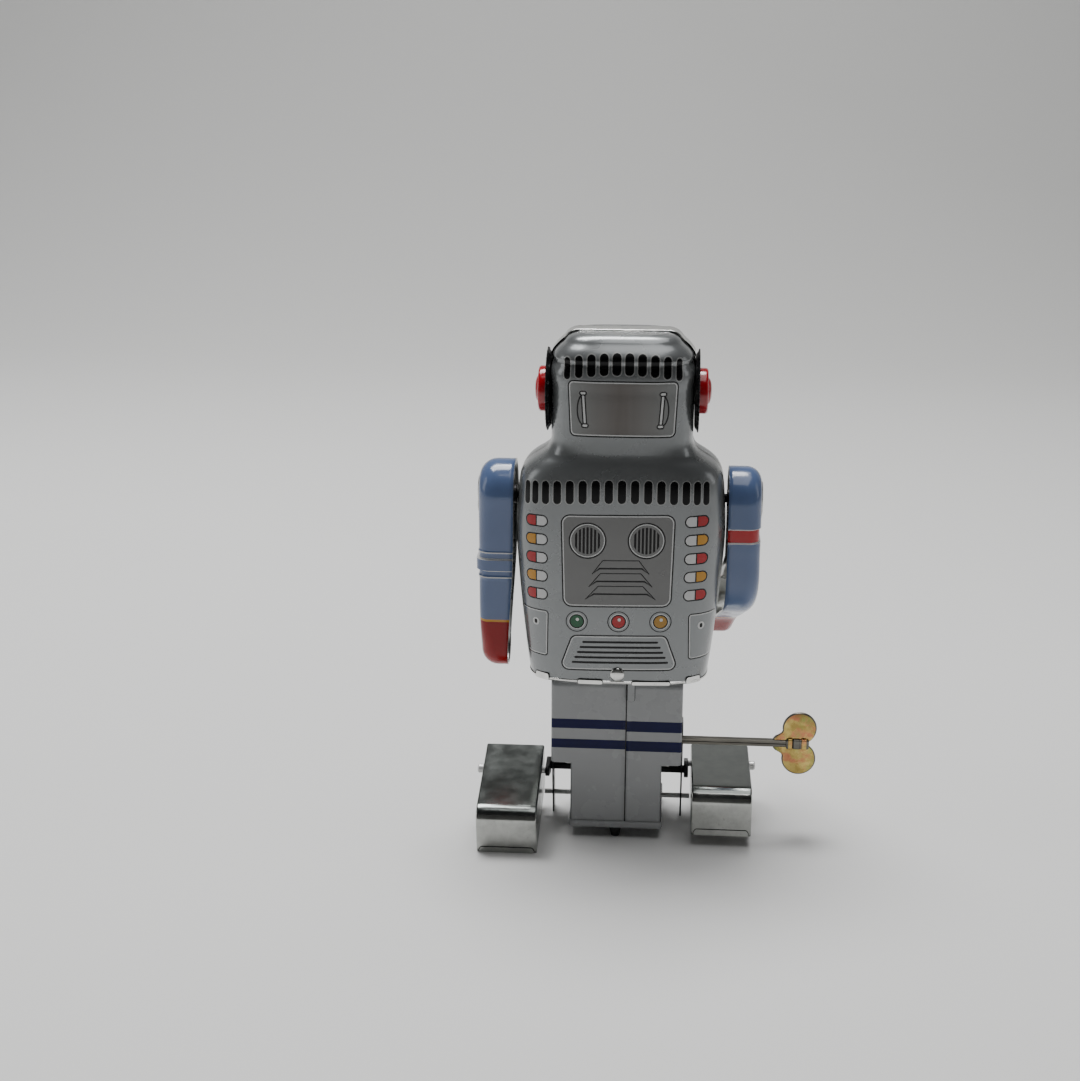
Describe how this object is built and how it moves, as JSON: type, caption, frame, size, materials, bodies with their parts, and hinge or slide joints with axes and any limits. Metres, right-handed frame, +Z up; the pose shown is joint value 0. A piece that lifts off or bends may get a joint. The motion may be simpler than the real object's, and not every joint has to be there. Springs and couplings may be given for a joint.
{
  "type": "wind-up walking robot toy",
  "caption": "Pressed tin robot figure on a clockwork leg casing, with crank-driven feet, swinging arms and a butterfly winding key.",
  "frame": {"origin": "on the floor, in the robot's middle plane and directly below the shoulder axle's plane", "axes": "+Z up, -Y towards the robot's front, +X towards the robot's left arm"},
  "size_m": [0.128, 0.0793, 0.1907],
  "materials": {
    "litho_silver": "gloss lacquered silver print",
    "bare_tin": "bright bare tinplate",
    "dark_steel": "blackened steel",
    "rod_steel": "plain drawn steel",
    "ear_red": "gloss red moulding",
    "eye_red": "clear red moulding",
    "window_red": "clear red plastic sheet",
    "yellow_trim": "gloss yellow lacquer",
    "arm_blue": "gloss light blue lacquer, red hand, bare tin inside",
    "casing_white": "gloss off-white lacquer with two navy stripes",
    "key_brass": "yellow passivated plate",
    "gear_brass": "stamped brass",
    "spring_steel": "blued spring steel",
    "peg_black": "black rubber",
    "abrasive": "bonded abrasive"
  },
  "bodies": {
    "robot": {"back_shell": "litho_silver", "front_shell": "litho_silver", "head_band": "bare_tin", "ear_disc_left": "dark_steel", "ear_disc_right": "dark_steel", "ear_dial_left": "ear_red", "ear_dial_right": "ear_red", "eye_rims": "yellow_trim", "eye_lenses": "eye_red", "mouth_grille": "bare_tin", "chest_frame": "yellow_trim", "chest_window": "window_red", "torso_base": "bare_tin", "base_rivets": "bare_tin", "shoulder_axle": "rod_steel", "arm_spacers": "rod_steel", "casing_left": "casing_white", "casing_right": "casing_white", "casing_floor": "casing_white", "rest_peg": "peg_black", "side_leg_left": "dark_steel", "side_leg_right": "dark_steel", "guide_rod": "rod_steel", "motor_plate_left": "bare_tin", "motor_plate_right": "bare_tin", "motor_pillars": "rod_steel", "mainspring": "spring_steel", "flint_arm": "gear_brass", "flint": "abrasive", "shoulder_rivet_left": "rod_steel", "shoulder_rivet_right": "rod_steel"},
    "key": {"key_wings": "key_brass", "key_hub": "key_brass", "key_shaft": "rod_steel", "winding_arbor": "rod_steel", "ratchet_wheel": "gear_brass"},
    "drive_wheel": {"great_wheel": "gear_brass", "click_spring": "gear_brass"},
    "click": {"click": "rod_steel"},
    "crank": {"crank_axle": "dark_steel", "crank_pinion": "rod_steel", "crank_arm_left": "dark_steel", "crank_arm_right": "dark_steel", "crank_pin_left": "rod_steel", "crank_pin_right": "rod_steel"},
    "foot_left": {"foot_left": "bare_tin"},
    "foot_right": {"foot_right": "bare_tin"},
    "second": {"second_wheel": "gear_brass", "second_pinion": "rod_steel"},
    "governor": {"governor_pinion": "rod_steel", "governor_flywheel": "gear_brass"},
    "idler_lower": {"idler_wheel_lower": "gear_brass"},
    "idler_upper": {"idler_wheel_upper": "gear_brass"},
    "spark": {"spark_pinion": "rod_steel", "spark_wheel": "abrasive"},
    "arm_left": {"arm_left": "arm_blue", "arm_hub_left": "bare_tin"},
    "arm_right": {"arm_right": "arm_blue", "arm_hub_right": "bare_tin"}
  },
  "joints": [
    {"name": "crank_turn", "type": "hinge", "parent": "robot", "child": "crank", "pos_m": [0, -0.0003, 0.0203], "axis": [1, 0, 0], "continuous": true},
    {"name": "foot_left_pivot", "type": "hinge", "parent": "crank", "child": "foot_left", "pos_m": [0.0396, 0.00724, 0.02122], "axis": [1, 0, 0], "continuous": true},
    {"name": "foot_right_pivot", "type": "hinge", "parent": "crank", "child": "foot_right", "pos_m": [-0.0396, -0.00784, 0.01937], "axis": [1, 0, 0], "continuous": true},
    {"name": "drive_wheel_turn", "type": "hinge", "parent": "robot", "child": "drive_wheel", "pos_m": [-0.0085, 0.005, 0.03475], "axis": [1, 0, 0], "continuous": true},
    {"name": "click_lift", "type": "hinge", "parent": "drive_wheel", "child": "click", "pos_m": [-0.0072, 0.00915, 0.04194], "axis": [1, 0, 0], "range_deg": [0, 10]},
    {"name": "second_turn", "type": "hinge", "parent": "robot", "child": "second", "pos_m": [0, 0.00152, 0.04869], "axis": [1, 0, 0], "continuous": true},
    {"name": "governor_turn", "type": "hinge", "parent": "robot", "child": "governor", "pos_m": [0, -0.00939, 0.05499], "axis": [1, 0, 0], "continuous": true},
    {"name": "idler_lower_turn", "type": "hinge", "parent": "robot", "child": "idler_lower", "pos_m": [0, 0.00152, 0.06669], "axis": [1, 0, 0], "continuous": true},
    {"name": "idler_upper_turn", "type": "hinge", "parent": "robot", "child": "idler_upper", "pos_m": [0, 0.00152, 0.08469], "axis": [1, 0, 0], "continuous": true},
    {"name": "spark_turn", "type": "hinge", "parent": "robot", "child": "spark", "pos_m": [0, 0.00152, 0.09729], "axis": [1, 0, 0], "continuous": true},
    {"name": "key_wind", "type": "hinge", "parent": "robot", "child": "key", "pos_m": [-0.04, 0.005, 0.03475], "axis": [1, 0, 0], "continuous": true},
    {"name": "arm_left_swing", "type": "hinge", "parent": "robot", "child": "arm_left", "pos_m": [0.042, 0, 0.1285], "axis": [-1, 0, 0], "range_deg": [-35, 110]},
    {"name": "arm_right_swing", "type": "hinge", "parent": "robot", "child": "arm_right", "pos_m": [-0.042, 0, 0.1285], "axis": [-1, 0, 0], "range_deg": [-35, 75]}
  ],
  "couplings": [
    {"joint": "foot_left_pivot", "follows": "crank_turn", "ratio": -1},
    {"joint": "foot_right_pivot", "follows": "crank_turn", "ratio": -1},
    {"joint": "drive_wheel_turn", "follows": "crank_turn", "ratio": -0.5},
    {"joint": "second_turn", "follows": "crank_turn", "ratio": 1.25},
    {"joint": "governor_turn", "follows": "crank_turn", "ratio": -3.125},
    {"joint": "idler_lower_turn", "follows": "crank_turn", "ratio": -1.25},
    {"joint": "idler_upper_turn", "follows": "crank_turn", "ratio": 1.25},
    {"joint": "spark_turn", "follows": "crank_turn", "ratio": -3.125}
  ]
}
